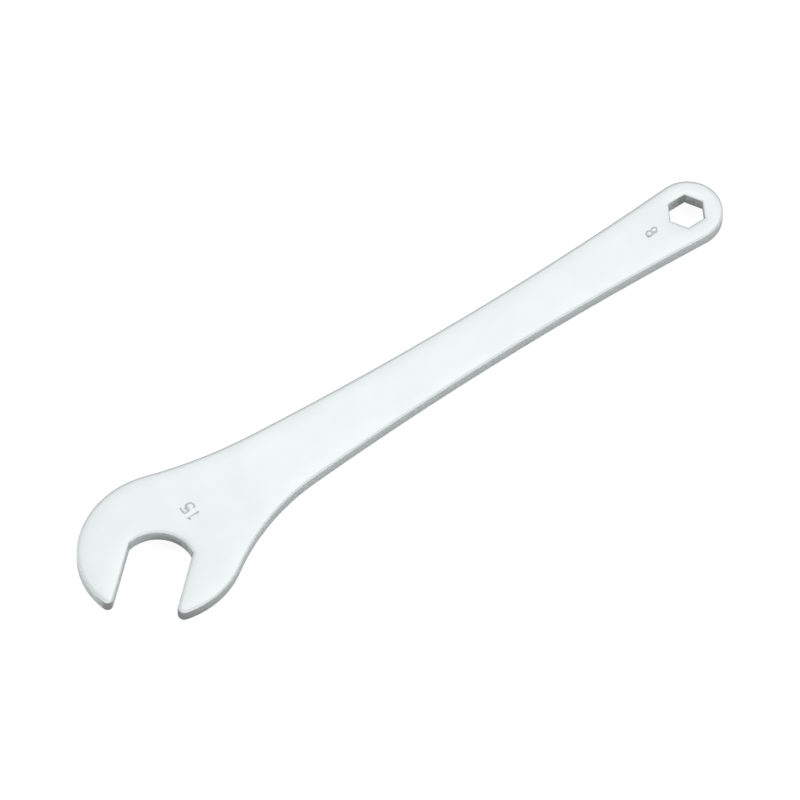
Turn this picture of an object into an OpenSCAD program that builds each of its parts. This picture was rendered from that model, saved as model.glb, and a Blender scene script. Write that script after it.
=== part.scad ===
// Flat pedal wrench cut from one steel plate: an open jaw at one end of a waisted handle
// and a hexagon hole in the round end.
// The origin is the centre of the jaw on the underside. +X runs along the handle towards the
// hexagon, +Y is the side of the hook jaw, and +Z goes up through the plate. Millimetres.

/* [Plate] */
// Thickness of the steel plate
plate_t = 4; // [3:0.1:6]
// Radius that tumbling leaves on the rims
rim_r = 0.5; // [0.2:0.05:0.9]
// Radius of the rims at the two jaw tips, where tumbling wears most
tip_rim_r = 0.65; // [0.5:0.05:1.2]
// Length over which a rim grows to that radius on its way to a tip
tip_fade = 7; // [3:0.5:9]

/* [Jaw] */
// Width across the flats that the jaw takes
jaw_size = 15; // [12:0.5:18]
// Play between the jaw and those flats
jaw_play = 0.2; // [0.1:0.05:0.4]
// Angle between the jaw and the handle, in degrees
jaw_angle = 40.7; // [32:0.1:48]
// How far the throat's arc is cut back into each side of the jaw
throat_relief = 1.2; // [0.6:0.1:2]
// How far the throat's arc sits off the jaw's centre line, towards the lower jaw
throat_shift = 0.25; // [0:0.05:0.4]

/* [Hook jaw] */
// Steel between the jaw and the hook's outer arc
hook_width = 15.9; // [14:0.1:18]
// Centre of that arc along the handle, from the jaw's centre
hook_x = 4.9; // [3:0.1:7]
// Centre of that arc across the handle, from the jaw's centre
hook_y = -0.75; // [-2.5:0.05:1]
// Radius of the tighter arc that carries the hook's back down to its tip
flank_r = 18.8; // [16:0.1:21]
// Where that tighter arc starts, in degrees round the outer arc
flank_start = 130; // [110:1:150]
// Radius of the hook's tip
hook_tip_r = 1.4; // [1.3:0.1:2.4]

/* [Lower jaw] */
// Steel between the jaw and the lower jaw's outer arc
lower_width = 15.15; // [14:0.05:18]
// Centre of that arc along the handle, from the jaw's centre
lower_x = 2.95; // [1:0.05:5]
// Centre of that arc across the handle, from the jaw's centre
lower_y = 6.85; // [5:0.05:9]
// Radius of the lower jaw's tip
lower_tip_r = 1.6; // [1.5:0.1:2.4]

/* [Handle] */
// Distance along the handle from the jaw's centre to the hexagon
centre_dist = 159.3; // [130:0.1:200]
// How far the handle's centre line passes from the jaw's centre
handle_y = 6.95; // [5:0.05:9]
// Width of the handle at its waist
waist_w = 13.5; // [12.5:0.1:15]
// Where the waist lies, as a share of the way from the hexagon to the jaw
waist_share = 0.33; // [0.31:0.01:0.4]
// Radius of the hollow between the handle and the hook jaw
hook_neck_r = 114; // [80:1:160]
// Radius of the hollow between the handle and the lower jaw
lower_neck_r = 60; // [40:1:90]

/* [Hexagon end] */
// Width across the flats that the hexagon takes
hex_size = 8; // [6:0.5:9]
// Play between the hexagon and those flats
hex_play = 0.1; // [0.05:0.05:0.3]
// Steel left between the hexagon's flats and the round end
hex_wall = 4.3; // [3.5:0.05:4.85]
// How far the round end's centre lies beyond the hexagon's centre
end_shift = 0.3; // [0:0.05:1]
// Radius of the rims of the hexagon
hex_rim_r = 0.3; // [0.1:0.05:0.6]

/* [Smoothness] */
// How far a facet may lie off the true curve
facet_tol = 0.012; // [0.006:0.002:0.05]
// Facets round a quarter of a rim
rim_facets = 4; // [2:1:6]

/* [Hidden] */

gap = jaw_size + jaw_play;
hex_gap = hex_size + hex_play;
end_r = hex_gap / 2 + hex_wall;
hook_r = gap / 2 + hook_width;
lower_r = gap / 2 + lower_width;
throat_r = gap / 2 + throat_relief;

// Unit vector at an angle, the angle of a vector, and its unit vector
function dir(a) = [cos(a), sin(a)];
function ang(v) = atan2(v[1], v[0]);
function unit(v) = v / norm(v);
// The point mirrored in the handle's centre line
function flip(p) = [p[0], 2 * handle_y - p[1]];

// The jaw opens along out, away from the handle, and up points across it to the hook's side
out = dir(180 + jaw_angle);
up = dir(90 + jaw_angle);

hex_c = [centre_dist, handle_y];
end_c = hex_c + [end_shift, 0];
hook_c = [hook_x, hook_y];
flank_c = hook_c + (hook_r - flank_r) * dir(flank_start);
lower_c = [lower_x, lower_y];
throat_c = -throat_shift * up;

// The handle's edge is one long hollow arc. It touches the round end and comes within half of
// waist_w of the centre line at the waist.
half_w = waist_w / 2;
waist_from_end = waist_share * centre_dist + end_shift;
waist_r = (pow(waist_from_end, 2) + pow(half_w, 2) - pow(end_r, 2)) / (2 * (end_r - half_w));
waist_c = end_c + [-waist_from_end, half_w + waist_r];

// Centre of the hollow of radius r that runs out of the handle's upper edge and touches the
// jaw circle at c with radius cr. The lower side uses it mirrored.
function neck_c(c, cr, r) =
    let (
        a = waist_r - r,
        b = cr + r,
        d = norm(c - waist_c),
        along = (a * a - b * b + d * d) / (2 * d),
        across = sqrt(a * a - along * along),
        u = unit(c - waist_c)
    )
    waist_c + along * u + across * [-u[1], u[0]];

// Centre of a tip circle of radius r that touches a jaw face and, from inside, the arc at c
// with radius cr. face is a point of that jaw face, and into points from it into the steel.
function tip_c(face, into, c, cr, r) =
    let (
        p = face + r * into - c,
        s = p * out
    )
    face + r * into + (sqrt(s * s - p * p + pow(cr - r, 2)) - s) * out;

// Where a jaw face meets the throat's arc
function throat_corner(face) =
    let (
        p = face - throat_c,
        s = p * out
    )
    face - (s + sqrt(s * s - p * p + pow(throat_r, 2))) * out;

// Points of an arc from angle a0 to a1, without its last point, which the next arc starts
// with. Each point is [x, y, radius of the rim there], and the rim goes from k0 to k1.
function arc(c, r, a0, a1, k0 = rim_r, k1 = rim_r) =
    let (
        n = max(2, ceil(abs(a1 - a0) / (2 * acos(1 - facet_tol / r))))
    )
    [for (i = [0 : n - 1])
        let (t = i / n, p = c + r * dir(a0 + t * (a1 - a0)))
        [p[0], p[1], k0 + t * (k1 - k0)]];

// Angle a, or a full turn more or less, so that it lies within a turn after or before b
function after(a, b) = a < b ? after(a + 360, b) : a;
function before(a, b) = a > b ? before(a - 360, b) : a;
// An arc through tangent points: round outwards, and hollow when seen from the steel
function round_arc(c, r, p0, p1, k0 = rim_r, k1 = rim_r) =
    arc(c, r, ang(p0 - c), after(ang(p1 - c), ang(p0 - c)), k0, k1);
function hollow_arc(c, r, p0, p1) =
    arc(c, r, ang(p0 - c), before(ang(p1 - c), ang(p0 - c)));

hook_face = gap / 2 * up;
lower_face = -gap / 2 * up;
hook_neck_c = neck_c(hook_c, hook_r, hook_neck_r);
lower_neck_c = neck_c(flip(lower_c), lower_r, lower_neck_r);
hook_tip_c = tip_c(hook_face, up, flank_c, flank_r, hook_tip_r);
lower_tip_c = tip_c(lower_face, -up, lower_c, lower_r, lower_tip_r);

// Tangent points, in their order round the outline
end_top = end_c + end_r * unit(waist_c - end_c);
waist_top = waist_c + waist_r * unit(hook_neck_c - waist_c);
hook_start = hook_c + hook_r * unit(hook_neck_c - hook_c);
flank_top = hook_c + hook_r * dir(flank_start);
hook_tip_back = hook_tip_c + hook_tip_r * unit(hook_tip_c - flank_c);
hook_tip_front = hook_tip_c - hook_tip_r * up;
throat_top = throat_corner(hook_face);
throat_end = throat_corner(lower_face);
lower_tip_front = lower_tip_c + lower_tip_r * up;
lower_tip_back = lower_tip_c + lower_tip_r * unit(lower_tip_c - lower_c);
lower_end = flip(flip(lower_c) + lower_r * unit(lower_neck_c - flip(lower_c)));
waist_end = flip(waist_c + waist_r * unit(lower_neck_c - waist_c));
end_bottom = flip(end_top);

// Where the rims start to grow towards the tips, on each outer arc and each jaw face
function turn(len, r) = len / r * 180 / PI;
hook_fade = flank_c + flank_r * dir(ang(hook_tip_back - flank_c) - turn(tip_fade, flank_r));
lower_fade = lower_c + lower_r * dir(ang(lower_tip_back - lower_c) + turn(tip_fade, lower_r));
hook_face_fade = hook_tip_front - tip_fade * out;
lower_face_fade = lower_tip_front - tip_fade * out;

function rim_point(p, k) = [p[0], p[1], k];

outline = concat(
    round_arc(end_c, end_r, end_bottom, end_top),
    hollow_arc(waist_c, waist_r, end_top, waist_top),
    hollow_arc(hook_neck_c, hook_neck_r, waist_top, hook_start),
    round_arc(hook_c, hook_r, hook_start, flank_top),
    round_arc(flank_c, flank_r, flank_top, hook_fade),
    round_arc(flank_c, flank_r, hook_fade, hook_tip_back, rim_r, tip_rim_r),
    round_arc(hook_tip_c, hook_tip_r, hook_tip_back, hook_tip_front, tip_rim_r, tip_rim_r),
    [rim_point(hook_tip_front, tip_rim_r), rim_point(hook_face_fade, rim_r)],
    hollow_arc(throat_c, throat_r, throat_top, throat_end),
    [rim_point(throat_end, rim_r), rim_point(lower_face_fade, rim_r)],
    round_arc(lower_tip_c, lower_tip_r, lower_tip_front, lower_tip_back, tip_rim_r, tip_rim_r),
    round_arc(lower_c, lower_r, lower_tip_back, lower_fade, tip_rim_r, rim_r),
    round_arc(lower_c, lower_r, lower_fade, lower_end),
    hollow_arc(flip(lower_neck_c), lower_neck_r, lower_end, waist_end),
    hollow_arc(flip(waist_c), waist_r, waist_end, end_bottom)
);

// The hexagon hole's own outline, the other way round, so that the steel is on its left too
hexagon = [for (i = [0 : 5])
    let (p = hex_c + hex_gap / 2 / cos(30) * dir(-60 * i))
    rim_point(p, hex_rim_r)];

function xy(p) = [p[0], p[1]];

// Direction out of the steel at point i of a closed outline, long enough that a shift by it
// moves both edges there by one unit
function outward(line, i) =
    let (
        n = len(line),
        a = unit(xy(line[i]) - xy(line[(i + n - 1) % n])),
        b = unit(xy(line[(i + 1) % n]) - xy(line[i])),
        sum = [a[1] + b[1], -a[0] - b[0]]
    )
    sum * 2 / (sum * sum);

// Points down a quarter-round rim, as shares of its radius: [set back into the steel, depth].
// The first and last facets run on past the face and the wall, so that they cut cleanly.
rim_line = [for (i = [0 : rim_facets]) let (a = 90 * i / rim_facets) [1 - sin(a), 1 - cos(a)]];
rim_past = 1.5 * rim_line[0] - 0.5 * rim_line[1];
rim_section = concat(
    [[rim_past[1], rim_past[1]], rim_past],
    [for (i = [1 : rim_facets - 1]) rim_line[i]],
    [[rim_past[1], rim_past[0]]]
);

// Ring-shaped tool that rounds the lower rim along a closed outline
module rim_tool(line) {
    n = len(line);
    m = len(rim_section);
    polyhedron(
        points = [for (i = [0 : n - 1])
            let (k = line[i][2], shift = outward(line, i))
            for (q = rim_section)
                let (p = xy(line[i]) - q[0] * k * shift)
                [p[0], p[1], q[1] * k]],
        faces = [for (i = [0 : n - 1]) for (j = [0 : m - 1])
            let (a = i * m + j, b = i * m + (j + 1) % m, c = (i + 1) % n * m)
            each [[a, c + j, c + (j + 1) % m], [a, c + (j + 1) % m, b]]]
    );
}

// Both rims along a closed outline
module rim_tools(line) {
    rim_tool(line);
    translate([0, 0, plate_t])
        mirror([0, 0, 1])
        rim_tool(line);
}

module wrench() {
    color("gainsboro")
    difference() {
        linear_extrude(plate_t)
            polygon([for (p = outline) xy(p)]);
        rim_tools(outline);
        translate([hex_c[0], hex_c[1], -1])
            cylinder(r = hex_gap / 2 / cos(30), h = plate_t + 2, $fn = 6);
        rim_tools(hexagon);
    }
}

wrench();
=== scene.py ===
import math
import bmesh
import bpy
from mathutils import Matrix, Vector
from mathutils.bvhtree import BVHTree


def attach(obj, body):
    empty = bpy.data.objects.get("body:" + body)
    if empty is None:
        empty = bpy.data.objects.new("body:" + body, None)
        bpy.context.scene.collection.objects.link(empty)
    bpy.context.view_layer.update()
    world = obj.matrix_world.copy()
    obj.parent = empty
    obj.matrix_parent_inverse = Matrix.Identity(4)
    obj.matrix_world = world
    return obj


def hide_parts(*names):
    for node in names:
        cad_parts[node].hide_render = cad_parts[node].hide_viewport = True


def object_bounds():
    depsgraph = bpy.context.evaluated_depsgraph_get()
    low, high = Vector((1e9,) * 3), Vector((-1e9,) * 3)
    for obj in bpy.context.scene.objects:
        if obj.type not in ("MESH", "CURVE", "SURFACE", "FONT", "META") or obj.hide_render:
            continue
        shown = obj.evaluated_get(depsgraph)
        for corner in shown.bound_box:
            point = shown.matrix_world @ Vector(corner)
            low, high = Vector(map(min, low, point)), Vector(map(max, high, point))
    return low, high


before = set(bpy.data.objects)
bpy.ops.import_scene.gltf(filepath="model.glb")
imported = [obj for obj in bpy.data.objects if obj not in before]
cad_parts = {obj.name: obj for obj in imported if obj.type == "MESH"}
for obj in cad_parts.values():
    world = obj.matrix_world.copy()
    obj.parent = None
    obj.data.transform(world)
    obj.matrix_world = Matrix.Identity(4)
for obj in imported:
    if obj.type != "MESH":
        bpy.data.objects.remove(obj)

mm = 0.001
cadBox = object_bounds()
scene = bpy.context.scene
scene.view_settings.view_transform = "Standard"


def srgb(hexColour):
    # sRGB hex to the linear colour that a shader socket takes
    parts = [int(hexColour[i:i + 2], 16) / 255 for i in (1, 3, 5)]
    return [c / 12.92 if c <= 0.04045 else ((c + 0.055) / 1.055) ** 2.4 for c in parts] + [1.0]


def addNode(tree, kind, settings={}, **links):
    # one node with its settings and inputs, each a value or another node's output; an input goes by its
    # name, with _ for a space, or by its number, as in0
    node = tree.nodes.new(kind)
    for name, value in settings.items():
        setattr(node, name, value)
    for name, value in links.items():
        key = int(name[2:]) if name.startswith("in") and name[2:].isdigit() else name.replace("_", " ")
        if isinstance(value, bpy.types.NodeSocket):
            tree.links.new(value, node.inputs[key])
        else:
            node.inputs[key].default_value = value
    return node


# the plated plate

finish = {
    "faceLight": "#F0F6F6",      # plating where it is brightest
    "faceDark": "#ECF3F2",
    "wallTopShade": "#DDE3E2",      # walls greyer than the face: a duller burnished band, with painted shade of the floor mirrored there
    "wallFootShade": "#C8D0CF",      # darker towards the foot: torn and duller, and painted shade of the floor's contact shadow mirrored there
    "wallHeights": (3.6, 0.4),   # mm above the underside where those two colours are reached
    "wallTilt": (0.75, 0.1),     # share of the normal along Z where the wall's look starts and is complete
    "streakColour": "#BFB9AE",   # the shear marks, a little warmer
    "streakRange": (0.42, 0.72),        # noise level where a mark starts and where it is deepest
    "streakShare": 0.12,         # how much of that colour the deepest marks take on the outer walls
    "holeStreaks": 0.7,          # and in the hexagon, which is left as it was punched
    "holeCentre": (159.3, 6.95, 2.0),   # mm
    "holeReach": 6.0,            # mm from that centre
    "holeFade": 0.5,             # mm over which the one share turns to the other
    "patchSize": 26,             # mm across a patch of the faint cloudiness
    "cloudShare": 1 / 3,         # size of a patch of rougher plate, against that
    "cloudRange": (0.3, 0.7),    # noise level where it is smoothest and roughest
    "roughness": 0.30,
    "roughnessSpread": 0.05,
    "wallRoughness": 0.40,
    "waveSize": 22,              # mm from crest to crest of the face's slight waviness
    "waveHeight": 0.03,          # mm
    "grainSize": 0.5,            # mm; tumbling leaves about 0.1, drawn coarser so that it shows
    "grainHeight": 0.0012,       # mm
    "shearSize": 0.35,           # mm between the shear marks that run down the walls
    "shearStretch": 0.06,        # how little the marks change along Z, so that they run down the walls
    "shearHeight": 0.004,        # mm
}


def satinPlatedSteel():
    # bright nickel-chrome plate over tumbled, pressed steel: a pearly sheen with soft-edged
    # reflections, almost white under a softbox, and greyer sheared walls with faint marks down them, the
    # grey partly painted shade
    material = bpy.data.materials.new("satinPlatedSteel")
    material.use_nodes = True
    tree = material.node_tree
    shader = tree.nodes["Principled BSDF"]
    shader.inputs["Metallic"].default_value = 1.0
    place = addNode(tree, "ShaderNodeTexCoord")
    split = addNode(tree, "ShaderNodeSeparateXYZ", Vector=place.outputs["Normal"])
    flatness = addNode(tree, "ShaderNodeMath", {"operation": "ABSOLUTE"}, in0=split.outputs["Z"])
    tiltStart, tiltEnd = finish["wallTilt"]
    wall = addNode(tree, "ShaderNodeMapRange", {"interpolation_type": "SMOOTHSTEP"},
                   Value=flatness.outputs[0], From_Min=tiltStart, From_Max=tiltEnd, To_Min=0.0, To_Max=1.0)

    patches = addNode(tree, "ShaderNodeTexNoise", Vector=place.outputs["Object"],
                      Scale=1000 / finish["patchSize"], Detail=2.0, Roughness=0.5)
    face = addNode(tree, "ShaderNodeMix", {"data_type": "RGBA"}, Factor=patches.outputs["Fac"],
                   in6=srgb(finish["faceDark"]), in7=srgb(finish["faceLight"]))
    stretch = addNode(tree, "ShaderNodeMapping", Vector=place.outputs["Object"],
                      Scale=(1.0, 1.0, finish["shearStretch"]))
    shear = addNode(tree, "ShaderNodeTexNoise", Vector=stretch.outputs["Vector"],
                    Scale=1000 / finish["shearSize"], Detail=2.0, Roughness=0.6)
    spot = addNode(tree, "ShaderNodeSeparateXYZ", Vector=place.outputs["Object"])
    wallTop, wallFoot = finish["wallHeights"]
    # painted shade: the wall colour darkens towards the foot, for the floor's contact shadow mirrored there
    depth = addNode(tree, "ShaderNodeMapRange", Value=spot.outputs["Z"], From_Min=wallTop * mm,
                    From_Max=wallFoot * mm, To_Min=0.0, To_Max=1.0)
    shadedWall = addNode(tree, "ShaderNodeMix", {"data_type": "RGBA"}, Factor=depth.outputs[0],
                        in6=srgb(finish["wallTopShade"]), in7=srgb(finish["wallFootShade"]))
    away = addNode(tree, "ShaderNodeVectorMath", {"operation": "DISTANCE"}, in0=place.outputs["Object"],
                   in1=Vector(finish["holeCentre"]) * mm)
    share = addNode(tree, "ShaderNodeMapRange", Value=away.outputs["Value"],
                    From_Min=finish["holeReach"] * mm,
                    From_Max=(finish["holeReach"] + finish["holeFade"]) * mm,
                    To_Min=finish["holeStreaks"], To_Max=finish["streakShare"])
    markStart, markDeepest = finish["streakRange"]
    streak = addNode(tree, "ShaderNodeMapRange", Value=shear.outputs["Fac"], From_Min=markStart,
                     From_Max=markDeepest, To_Min=0.0, To_Max=share.outputs[0])
    wallColour = addNode(tree, "ShaderNodeMix", {"data_type": "RGBA"}, Factor=streak.outputs[0],
                         in6=shadedWall.outputs[2], in7=srgb(finish["streakColour"]))
    colour = addNode(tree, "ShaderNodeMix", {"data_type": "RGBA"}, Factor=wall.outputs[0],
                     in6=face.outputs[2], in7=wallColour.outputs[2])
    tree.links.new(colour.outputs[2], shader.inputs["Base Color"])

    cloud = addNode(tree, "ShaderNodeTexNoise", Vector=place.outputs["Object"],
                    Scale=1000 / (finish["patchSize"] * finish["cloudShare"]), Detail=3.0, Roughness=0.55)
    smoothest, roughest = finish["cloudRange"]
    faceRough = addNode(tree, "ShaderNodeMapRange", Value=cloud.outputs["Fac"], From_Min=smoothest,
                        From_Max=roughest,
                        To_Min=finish["roughness"] - finish["roughnessSpread"] / 2,
                        To_Max=finish["roughness"] + finish["roughnessSpread"] / 2)
    rough = addNode(tree, "ShaderNodeMix", {"data_type": "FLOAT"}, Factor=wall.outputs[0],
                    in2=faceRough.outputs[0], in3=finish["wallRoughness"])
    tree.links.new(rough.outputs[0], shader.inputs["Roughness"])

    waves = addNode(tree, "ShaderNodeTexNoise", Vector=place.outputs["Object"],
                    Scale=1000 / finish["waveSize"], Detail=1.0, Roughness=0.4)
    grain = addNode(tree, "ShaderNodeTexNoise", Vector=place.outputs["Object"],
                    Scale=1000 / finish["grainSize"], Detail=2.0, Roughness=0.6)
    waveLift = addNode(tree, "ShaderNodeMath", {"operation": "MULTIPLY"}, in0=waves.outputs["Fac"],
                       in1=finish["waveHeight"])
    grainLift = addNode(tree, "ShaderNodeMath", {"operation": "MULTIPLY_ADD"}, in0=grain.outputs["Fac"],
                        in1=finish["grainHeight"], in2=waveLift.outputs[0])
    shearShare = addNode(tree, "ShaderNodeMath", {"operation": "MULTIPLY"}, in0=shear.outputs["Fac"],
                         in1=wall.outputs[0])
    height = addNode(tree, "ShaderNodeMath", {"operation": "MULTIPLY_ADD"}, in0=shearShare.outputs[0],
                     in1=finish["shearHeight"], in2=grainLift.outputs[0])
    bump = addNode(tree, "ShaderNodeBump", Height=height.outputs[0], Strength=1.0, Distance=mm)
    tree.links.new(bump.outputs["Normal"], shader.inputs["Normal"])
    return material


plate = {
    "gridStep": 1.5,       # mm between the cuts that let the faces be shaped
    "rollWidth": 2.6,      # mm over which a face rolls off towards its rim
    "rollDrop": 0.08,      # mm that it drops there
    "edgeRings": (0.12, 0.24),   # mm; widths of the rings of faces just inside the rim
    "edgeWidth": 0.40,     # mm; the last of the roll-off, where tumbling wears most
    "edgeDrop": 0.055,     # mm that it drops there as well
    "smoothAngle": 24.5,   # degrees; rim facets shade smooth, the throat's and hexagon's corners stay crisp
    "shadingWeight": 80,   # over 50, so that large faces count for more in that shading
    "mergeWithin": 0.002,  # mm; points of the CAD mesh this close become one
    "flatAngle": 0.05,     # degrees; its triangles this close to one plane become one face
    "flatNormal": 0.9999,  # least upward or downward share of the normal on the two flat faces
    "cutWithin": 0.0005,   # mm; a cut this close to a point runs through it, and slivers this thin go
}


def makePlate(material):
    # the CAD plate's own shape, with its faces cut fine enough to roll off towards the rims
    form = bmesh.new()
    form.from_mesh(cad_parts["wrench"].data)
    bmesh.ops.remove_doubles(form, verts=form.verts, dist=plate["mergeWithin"] * mm)
    bmesh.ops.dissolve_limit(form, angle_limit=math.radians(plate["flatAngle"]), verts=form.verts,
                             edges=form.edges, delimit={"NORMAL"})
    low, high = cadBox

    def flatFaces():
        return [f for f in form.faces if abs(f.normal.z) > plate["flatNormal"]]

    # both faces' edges, each as a hair-thin triangle, to measure the distance from
    hair = Vector((0, 0, 0.0001 * mm))
    rimForm = bmesh.new()
    for face in flatFaces():
        for edge in face.edges:
            if any(abs(f.normal.z) < plate["flatNormal"] for f in edge.link_faces):
                ends = [rimForm.verts.new(v.co) for v in edge.verts]
                lift = rimForm.verts.new((ends[0].co + ends[1].co) / 2 + hair)
                rimForm.faces.new(ends + [lift])
    rimTree = BVHTree.FromBMesh(rimForm)
    rimForm.free()
    inner = flatFaces()
    for ring in plate["edgeRings"]:
        bmesh.ops.inset_region(form, faces=inner, use_boundary=True, use_even_offset=True,
                               thickness=ring * mm, depth=0)

    for axis, start, stop in ((0, low.x, high.x), (1, low.y, high.y)):
        at = start + plate["gridStep"] * mm / 2
        while at < stop:
            middle, normal = Vector((0, 0, 0)), Vector((0, 0, 0))
            middle[axis], normal[axis] = at, 1.0
            faces = flatFaces()
            edges = list({e for f in faces for e in f.edges})
            bmesh.ops.bisect_plane(form, geom=faces + edges, dist=plate["cutWithin"] * mm,
                                   plane_co=middle, plane_no=normal)
            at += plate["gridStep"] * mm

    # the rims move down whole, so that they still start where the face ends
    onFace = {v for f in flatFaces() for v in f.verts}
    for vert in form.verts:
        near = rimTree.find_nearest(vert.co)[3] / mm if vert in onFace else 0
        if near < plate["rollWidth"]:
            side = 1 if vert.co.z > (low.z + high.z) / 2 else -1
            drop = plate["rollDrop"] * (1 - near / plate["rollWidth"]) ** 2
            drop += plate["edgeDrop"] * math.exp(-near / plate["edgeWidth"])
            vert.co.z -= side * drop * mm
    mesh = bpy.data.meshes.new("plateMesh")
    form.to_mesh(mesh)
    form.free()
    piece = bpy.data.objects.new("plate", mesh)
    scene.collection.objects.link(piece)
    mesh.materials.append(material)
    print("plate: faces", len(mesh.polygons))
    return piece


# the size numbers, stamped by hand-held punches

stamps = {
    "penRadius": 0.30,     # mm; each stroke is cut by a rounded punch
    "penRounding": 4,      # steps of that rounding
    "fifteenLift": 0.17,   # mm that the punch's centre stays above the face
    "eightLift": 0.24,     # struck more lightly
    "faceHeight": 4.0,     # mm
    "colour": "#D9DFDF",   # grey in the strokes: painted shade in the recess, over plating that lies dull there
    "roughness": 0.5,
}


def shadedDullRecess():
    # the same plate where it was never tumbled, matt in the bottom of the strokes, and grey there as painted
    # shade in the recess
    material = bpy.data.materials.new("shadedDullRecess")
    material.use_nodes = True
    shader = material.node_tree.nodes["Principled BSDF"]
    shader.inputs["Metallic"].default_value = 1.0
    shader.inputs["Base Color"].default_value = srgb(stamps["colour"])
    shader.inputs["Roughness"].default_value = stamps["roughness"]
    return material


def arcPoints(centre, radii, start, stop, count):
    # points of an elliptic arc on the face; 0 degrees points along +Y and 90 towards -X
    points = []
    for i in range(count + 1):
        angle = math.radians(start + (stop - start) * i / count)
        points.append((centre[0] - radii[0] * math.sin(angle), centre[1] + radii[1] * math.cos(angle)))
    return points


def stampStrokes():
    # the middle of each stroke, in mm on the face, and how far over the face the punch's centre stays
    one = [(13.75, 5.22), (13.15, 5.92), (16.52, 5.92)]
    fiveBar = [(13.50, 9.25), (13.33, 8.40), (13.36, 7.55), (13.64, 7.35), (14.82, 7.42)]
    fiveBowl = arcPoints((15.58, 8.22), (1.05, 1.02), 140, -150, 18)
    eightFoot = arcPoints((148.46, 6.95), (0.74, 0.72), 0, 360, 24)
    eightHead = arcPoints((149.97, 7.10), (0.70, 0.64), 0, 360, 24)
    fifteen = [(points, stamps["fifteenLift"]) for points in (one, fiveBar, fiveBowl)]
    return fifteen + [(points, stamps["eightLift"]) for points in (eightFoot, eightHead)]


def strikeNumbers(piece, recess):
    lines = bpy.data.curves.new("punchLines", "CURVE")
    lines.dimensions = "3D"
    lines.bevel_depth = stamps["penRadius"] * mm
    lines.bevel_resolution = stamps["penRounding"]
    lines.use_fill_caps = True
    for points, lift in stampStrokes():
        line = lines.splines.new("POLY")
        closed = math.dist(points[0], points[-1]) < 1e-6
        points = points[:-1] if closed else points
        line.points.add(len(points) - 1)
        line.use_cyclic_u = closed
        for spot, (x, y) in zip(line.points, points):
            spot.co = (x * mm, y * mm, (stamps["faceHeight"] + lift) * mm, 1.0)
    punch = bpy.data.objects.new("punch", lines)
    scene.collection.objects.link(punch)
    bpy.context.view_layer.update()
    solid = bpy.data.meshes.new_from_object(punch)
    solid.materials.clear()
    solid.materials.append(recess)
    bpy.data.objects.remove(punch)
    punch = bpy.data.objects.new("punchSolid", solid)
    scene.collection.objects.link(punch)
    cut = piece.modifiers.new("strike", "BOOLEAN")
    cut.operation = "DIFFERENCE"
    cut.solver = "EXACT"
    cut.use_self = True
    cut.material_mode = "TRANSFER"
    cut.object = punch
    bpy.context.view_layer.update()
    struck = bpy.data.meshes.new_from_object(piece.evaluated_get(bpy.context.evaluated_depsgraph_get()))
    form = bmesh.new()
    form.from_mesh(struck)
    bmesh.ops.dissolve_degenerate(form, dist=plate["cutWithin"] * mm, edges=form.edges)
    form.to_mesh(struck)
    form.free()
    piece.modifiers.clear()
    piece.data = struck
    bpy.data.objects.remove(punch)
    print("numbers struck: faces", len(struck.polygons))


def finishShading(piece):
    piece.data.shade_smooth()
    piece.data.set_sharp_from_angle(angle=math.radians(plate["smoothAngle"]))
    even = piece.modifiers.new("evenShading", "WEIGHTED_NORMAL")
    even.mode = "FACE_AREA"
    even.weight = plate["shadingWeight"]
    even.keep_sharp = True
    print("shading finished")


wrench = makePlate(satinPlatedSteel())
strikeNumbers(wrench, shadedDullRecess())
finishShading(wrench)
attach(wrench, "root")
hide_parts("wrench")

# the studio

studio = {
    "floorRadius": 8.0,       # m
    "floorSides": 96,
    "floorColour": "#E6E6E6",
    "floorWhite": 0.8,        # share of plain white that the camera sees in the floor
    "floorMirrored": 0.1,     # the same share for what the metal mirrors
    "floorWhiteLevel": 1.14,  # how bright that plain white is
    "skyLight": 0.15,         # how bright the sky is as a light; seen or mirrored it is plain white
    "tentRadius": 1.2,        # m; a paper light tent that only the metal mirrors
    "tentSides": 64,
    "tentFoot": -0.01,        # m; just under the floor
    "tentLevel": 1.11,
    "panelTowards": (0.20, 0.40, 0.89),    # where the tent is lit most: right, away from the camera, up
    "tentStops": [(0.0, 0.60), (0.3, 0.70), (0.5, 0.68), (0.65, 0.64), (0.77, 0.64), (0.87, 0.73),
                  (0.94, 0.88), (0.97, 0.95), (1.0, 1.0)],   # cosine of the angle from there, grey
    "tentBack": 0.65,         # how much of that is left at the back, behind the object
    "tentFront": 1.3,         # and at the front, for the views from behind
    "backRange": (0.6, 0.95),       # backward share of the direction where the back starts and is complete
    "frontRange": (-0.25, -0.6),    # and the same for the front
    # degrees that a lamp is turned from the picture's right and lifted, and W/m2
    "lamps": {"leftLamp": (132, 35, 3.2), "rightLamp": (15, 42, 2.0)},
    "lampAngle": 35,          # degrees across, so that the shadows are soft
    # grey sheets that glow at a set level, lie before the jaw and behind the wrench and are only mirrored: a
    # painted dark reflection in the metal there. The grey on the left and on the right, between which places
    # it turns, and the corners, in mm to the right of and behind the middle of the picture
    "cards": {
        "frontCard": (0.32, 0.64, -50, -36, [
            (-77, -56), (-68, -56.5), (-51, -55.5), (-42, -50), (-30, -34), (-28, -120), (-77, -120)]),
        "backCard": (0.62, 0.40, -76, -56, [
            (-73, -34), (-67.5, -26.5), (-60, -22.5), (-44, -15.5), (-36, -11.5), (-14, 2), (28.5, 31.5),
            (49, 47), (64, 59), (70, 60), (75, 55), (110, 60), (110, 130), (-110, 130), (-110, -20)]),
    },
    "cardHeight": 0.1,        # mm above the floor
    "boxPower": 0.008,        # W; a small softbox mirrored in the middle of the handle
    "boxSize": 0.16,          # m
    "boxDistance": 0.5,       # m
}
view = {
    "azimuth": -35.8,                 # degrees
    "elevation": 57.35,               # degrees
    "target": (73.33, 3.42, 4.0),     # mm; what the middle of the picture looks at
    "distance": 1.0,                  # m
    "width": 188.99,                  # mm across the picture; the photo has next to no perspective
}


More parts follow.
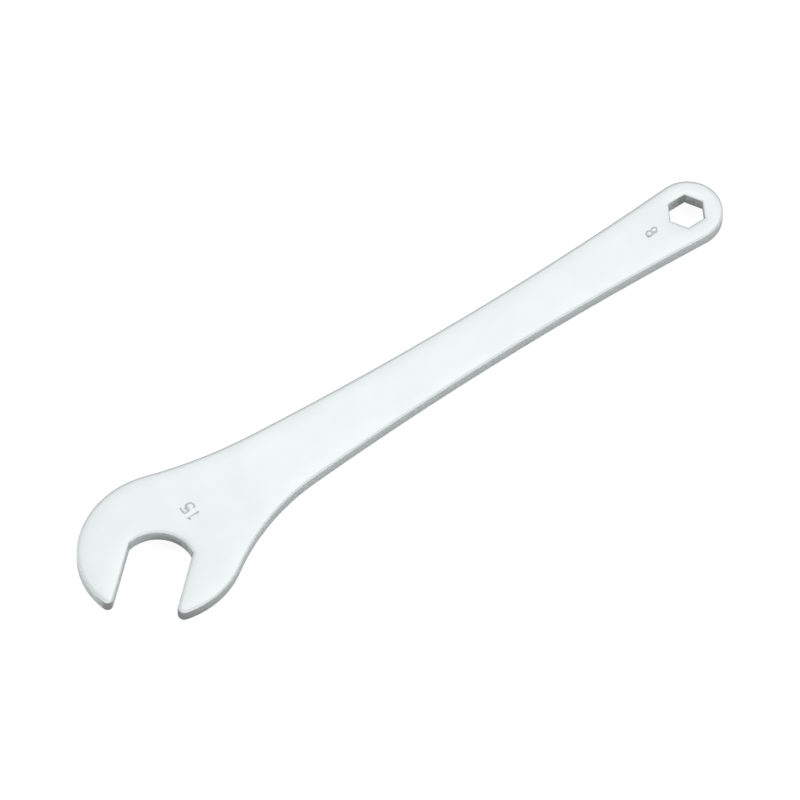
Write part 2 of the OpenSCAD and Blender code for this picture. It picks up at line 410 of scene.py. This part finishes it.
def makeFloor():
    form = bmesh.new()
    bmesh.ops.create_circle(form, cap_ends=True, segments=studio["floorSides"], radius=studio["floorRadius"])
    mesh = bpy.data.meshes.new("floorMesh")
    form.to_mesh(mesh)
    form.free()
    floor = bpy.data.objects.new("floor", mesh)
    scene.collection.objects.link(floor)
    material = bpy.data.materials.new("whiteTable")   # matt white laminate, lit to white
    material.use_nodes = True
    tree = material.node_tree
    tree.nodes.clear()
    out = addNode(tree, "ShaderNodeOutputMaterial")
    matt = addNode(tree, "ShaderNodeBsdfDiffuse", Color=srgb(studio["floorColour"]))
    plain = addNode(tree, "ShaderNodeEmission", Color=(1, 1, 1, 1), Strength=studio["floorWhiteLevel"])
    path = addNode(tree, "ShaderNodeLightPath")
    seen = addNode(tree, "ShaderNodeMath", {"operation": "MULTIPLY"}, in0=path.outputs["Is Camera Ray"],
                   in1=studio["floorWhite"])
    through = addNode(tree, "ShaderNodeMath", {"operation": "MAXIMUM"}, in0=path.outputs["Is Glossy Ray"],
                      in1=path.outputs["Is Transmission Ray"])
    mirrored = addNode(tree, "ShaderNodeMath", {"operation": "MULTIPLY"}, in0=through.outputs[0],
                       in1=studio["floorMirrored"])
    share = addNode(tree, "ShaderNodeMath", {"operation": "MAXIMUM"}, in0=seen.outputs[0],
                    in1=mirrored.outputs[0])
    mixed = addNode(tree, "ShaderNodeMixShader", in0=share.outputs[0], in1=matt.outputs[0],
                    in2=plain.outputs[0])
    tree.links.new(mixed.outputs[0], out.inputs["Surface"])
    mesh.materials.append(material)


def makeTent(target):
    # brightest round one lit panel and dimmer away from it, it draws the rims' soft grey lines
    form = bmesh.new()
    bmesh.ops.create_uvsphere(form, u_segments=studio["tentSides"], v_segments=studio["tentSides"] // 2,
                              radius=studio["tentRadius"])
    bmesh.ops.bisect_plane(form, geom=form.verts[:] + form.edges[:] + form.faces[:],
                           plane_co=(0, 0, studio["tentFoot"]), plane_no=(0, 0, -1), clear_outer=True)
    mesh = bpy.data.meshes.new("tentMesh")
    form.to_mesh(mesh)
    form.free()
    mesh.shade_smooth()
    tent = bpy.data.objects.new("tent", mesh)
    tent.location = (target.x, target.y, 0)
    tent.rotation_euler.z = math.radians(view["azimuth"])
    scene.collection.objects.link(tent)
    material = bpy.data.materials.new("tentPaper")   # translucent paper, lit from outside
    material.use_nodes = True
    tree = material.node_tree
    tree.nodes.clear()
    out = addNode(tree, "ShaderNodeOutputMaterial")
    place = addNode(tree, "ShaderNodeTexCoord")
    way = addNode(tree, "ShaderNodeVectorMath", {"operation": "NORMALIZE"}, in0=place.outputs["Object"])
    near = addNode(tree, "ShaderNodeVectorMath", {"operation": "DOT_PRODUCT"}, in0=way.outputs["Vector"],
                   in1=Vector(studio["panelTowards"]).normalized())
    ramp = addNode(tree, "ShaderNodeValToRGB", Fac=near.outputs["Value"])
    stops = ramp.color_ramp.elements
    for between in studio["tentStops"][1:-1]:
        stops.new(between[0])
    for stop, (at, grey) in zip(stops, studio["tentStops"]):
        stop.position = at
        stop.color = (grey, grey, grey, 1)
    parts = addNode(tree, "ShaderNodeSeparateXYZ", Vector=way.outputs["Vector"])
    backStart, backEnd = studio["backRange"]
    back = addNode(tree, "ShaderNodeMapRange", Value=parts.outputs["Y"], From_Min=backStart,
                   From_Max=backEnd, To_Min=studio["tentLevel"],
                   To_Max=studio["tentLevel"] * studio["tentBack"])
    frontStart, frontEnd = studio["frontRange"]
    front = addNode(tree, "ShaderNodeMapRange", Value=parts.outputs["Y"], From_Min=frontStart,
                    From_Max=frontEnd, To_Min=1.0, To_Max=studio["tentFront"])
    both = addNode(tree, "ShaderNodeMath", {"operation": "MULTIPLY"}, in0=back.outputs[0],
                   in1=front.outputs[0])
    glow = addNode(tree, "ShaderNodeEmission", Color=ramp.outputs["Color"], Strength=both.outputs[0])
    tree.links.new(glow.outputs[0], out.inputs["Surface"])
    material.cycles.emission_sampling = "NONE"
    mesh.materials.append(material)
    tent.visible_camera = False
    tent.visible_diffuse = False
    tent.visible_shadow = False


def makeCards(target):
    # glowing grey sheets seen only in the metal: painted dark reflections before the jaw and behind the
    # wrench
    for name, (leftGrey, rightGrey, turnStart, turnEnd, corners) in studio["cards"].items():
        form = bmesh.new()
        form.faces.new([form.verts.new((x * mm, y * mm, 0)) for x, y in corners])
        mesh = bpy.data.meshes.new(name + "Mesh")
        form.to_mesh(mesh)
        form.free()
        card = bpy.data.objects.new(name, mesh)
        card.location = (target.x, target.y, studio["cardHeight"] * mm)
        card.rotation_euler.z = math.radians(view["azimuth"])
        scene.collection.objects.link(card)
        material = bpy.data.materials.new(name + "ShadeSheet")    # glowing grey sheet, a painted dark reflection
        material.use_nodes = True
        tree = material.node_tree
        tree.nodes.clear()
        out = addNode(tree, "ShaderNodeOutputMaterial")
        place = addNode(tree, "ShaderNodeTexCoord")
        spot = addNode(tree, "ShaderNodeSeparateXYZ", Vector=place.outputs["Object"])
        grey = addNode(tree, "ShaderNodeMapRange", Value=spot.outputs["X"], From_Min=turnStart * mm,
                       From_Max=turnEnd * mm, To_Min=leftGrey, To_Max=rightGrey)
        glow = addNode(tree, "ShaderNodeEmission", Color=(1, 1, 1, 1), Strength=grey.outputs[0])
        tree.links.new(glow.outputs[0], out.inputs["Surface"])
        material.cycles.emission_sampling = "NONE"
        mesh.materials.append(material)
        card.visible_camera = False
        card.visible_diffuse = False
        card.visible_shadow = False


def makeSky():
    world = bpy.data.worlds.new("softSky")
    scene.world = world
    world.use_nodes = True
    tree = world.node_tree
    tree.nodes.clear()
    out = addNode(tree, "ShaderNodeOutputWorld")
    path = addNode(tree, "ShaderNodeLightPath")
    first = addNode(tree, "ShaderNodeMath", {"operation": "MAXIMUM"}, in0=path.outputs["Is Camera Ray"],
                    in1=path.outputs["Is Glossy Ray"])
    seen = addNode(tree, "ShaderNodeMath", {"operation": "MAXIMUM"}, in0=first.outputs[0],
                   in1=path.outputs["Is Transmission Ray"])
    level = addNode(tree, "ShaderNodeMapRange", Value=seen.outputs[0], To_Min=studio["skyLight"], To_Max=1.0)
    sky = addNode(tree, "ShaderNodeBackground", Color=(1, 1, 1, 1), Strength=level.outputs[0])
    tree.links.new(sky.outputs[0], out.inputs["Surface"])


def aim(thing, spot):
    thing.rotation_mode = "QUATERNION"
    thing.rotation_quaternion = (spot - thing.location).to_track_quat("-Z", "Y")


def makeLamps(target):
    for name, (turn, lift, strength) in studio["lamps"].items():
        lamp = bpy.data.objects.new(name, bpy.data.lights.new(name, "SUN"))
        lamp.data.energy = strength
        lamp.data.angle = math.radians(studio["lampAngle"])
        turn, lift = math.radians(view["azimuth"] + turn), math.radians(lift)
        lamp.location = target + Vector((math.cos(turn) * math.cos(lift), math.sin(turn) * math.cos(lift),
                                         math.sin(lift)))
        lamp.visible_glossy = False    # the tent is what the metal mirrors
        scene.collection.objects.link(lamp)
        aim(lamp, target)
    box = bpy.data.objects.new("softbox", bpy.data.lights.new("softbox", "AREA"))
    box.data.energy = studio["boxPower"]
    box.data.shape = "DISK"
    box.data.size = studio["boxSize"]
    turn, lift = math.radians(view["azimuth"] + 90), math.radians(view["elevation"])
    box.location = target + studio["boxDistance"] * Vector((
        math.cos(turn) * math.cos(lift), math.sin(turn) * math.cos(lift), math.sin(lift)))
    scene.collection.objects.link(box)
    aim(box, target)


def makeCamera(target):
    camera = bpy.data.objects.new("camera", bpy.data.cameras.new("camera"))
    camera.data.type = "ORTHO"
    camera.data.ortho_scale = view["width"] * mm
    turn, lift = math.radians(view["azimuth"]), math.radians(view["elevation"])
    back = Vector((math.sin(turn) * math.cos(lift), -math.cos(turn) * math.cos(lift), math.sin(lift)))
    camera.location = target + back * view["distance"]
    scene.collection.objects.link(camera)
    aim(camera, target)
    scene.camera = camera


target = Vector(view["target"]) * mm
makeFloor()
makeTent(target)
makeCards(target)
makeSky()
makeLamps(target)
makeCamera(target)
print("studio and camera made")
